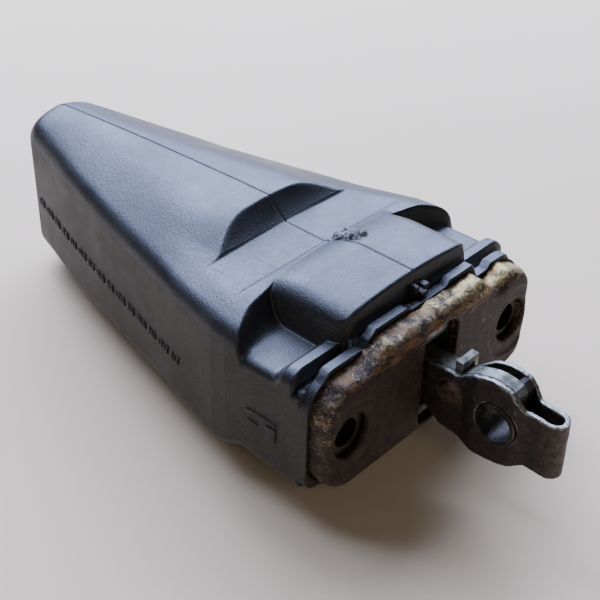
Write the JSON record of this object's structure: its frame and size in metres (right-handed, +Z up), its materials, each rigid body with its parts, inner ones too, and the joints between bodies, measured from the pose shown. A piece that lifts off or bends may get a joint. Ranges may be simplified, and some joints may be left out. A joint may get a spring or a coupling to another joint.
{
  "type": "vehicle door check",
  "caption": "Door check: steel mounting pan with two fixing holes, tapered plastic cover and a sliding arm with an eye.",
  "frame": {"origin": "midway between the two fixing holes, on the mounting pan's front face", "axes": "+X out of the pan along the arm towards its eye, Y from fixing hole to fixing hole, +Z up across the pan's short side"},
  "size_m": [0.1646, 0.0736, 0.0486],
  "materials": {
    "zinc_pan": "yellow-passivated zinc, stained and speckled with rust",
    "plain_steel": "bright zinc",
    "cage_steel": "dull zinc-plated sheet",
    "black_rubber": "matt black",
    "natural_plastic": "natural white acetal",
    "spring_steel": "oiled dark spring wire",
    "black_cover": "satin black, fine grain",
    "black_plastic": "black glass-filled nylon",
    "cast_zinc": "as-cast zinc",
    "core_steel": "bright zinc, granular",
    "rusty_strap": "dark, lightly rusted steel with bright edges",
    "copper_rivet": "dull copper"
  },
  "bodies": {
    "housing": {"mounting_plate": "zinc_pan", "weld_nuts": "plain_steel", "cage": "cage_steel", "cage_lid": "cage_steel", "lid_rivets": "plain_steel", "arm_wiper": "black_rubber", "near_bush": "natural_plastic", "far_bush": "natural_plastic", "near_spring": "spring_steel", "far_spring": "spring_steel", "near_spring_bridge": "cage_steel", "far_spring_bridge": "cage_steel", "cover": "black_cover"},
    "guide": {"guide_frame": "cast_zinc", "upper_slide_pad": "natural_plastic", "lower_slide_pad": "natural_plastic"},
    "arm": {"arm_core": "core_steel", "track_moulding": "natural_plastic", "link_strap": "rusty_strap", "eye_bush": "plain_steel", "arm_rivet": "copper_rivet", "closing_web": "core_steel", "saddle_clip": "plain_steel", "stop_plate": "cage_steel", "stop_buffer": "black_rubber", "stop_pins": "plain_steel"},
    "near_shoe": {"near_shoe": "black_plastic", "near_roller_pin": "plain_steel"},
    "far_shoe": {"far_shoe": "black_plastic", "far_roller_pin": "plain_steel"},
    "near_roller": {"near_roller": "plain_steel"},
    "far_roller": {"far_roller": "plain_steel"}
  },
  "joints": [
    {"name": "arm_tilt", "type": "hinge", "parent": "housing", "child": "guide", "pos_m": [-0.0225, 0, 0], "axis": [0, 1, 0], "range_deg": [-4.5, 4.5]},
    {"name": "arm_slide", "type": "slide", "parent": "guide", "child": "arm", "axis": [1, 0, 0], "range_m": [0, 0.0665]},
    {"name": "near_shoe_lift", "type": "slide", "parent": "guide", "child": "near_shoe", "axis": [0, -1, 0], "range_m": [0, 0.0015], "deforming": ["near_spring"]},
    {"name": "far_shoe_lift", "type": "slide", "parent": "guide", "child": "far_shoe", "axis": [0, 1, 0], "range_m": [0, 0.0015], "deforming": ["far_spring"]},
    {"name": "near_roller_spin", "type": "hinge", "parent": "near_shoe", "child": "near_roller", "pos_m": [-0.0225, -0.0073, 0], "axis": [0, 0, 1], "range_deg": [0, 960]},
    {"name": "far_roller_spin", "type": "hinge", "parent": "far_shoe", "child": "far_roller", "pos_m": [-0.0225, 0.0073, 0], "axis": [0, 0, -1], "range_deg": [0, 960]}
  ],
  "couplings": [
    {"joint": "near_shoe_lift", "follows": "arm_slide", "ratio": 0.021429},
    {"joint": "far_shoe_lift", "follows": "arm_slide", "ratio": 0.021429},
    {"joint": "near_roller_spin", "follows": "arm_slide", "rad_per_m": 250},
    {"joint": "far_roller_spin", "follows": "arm_slide", "rad_per_m": 250}
  ]
}
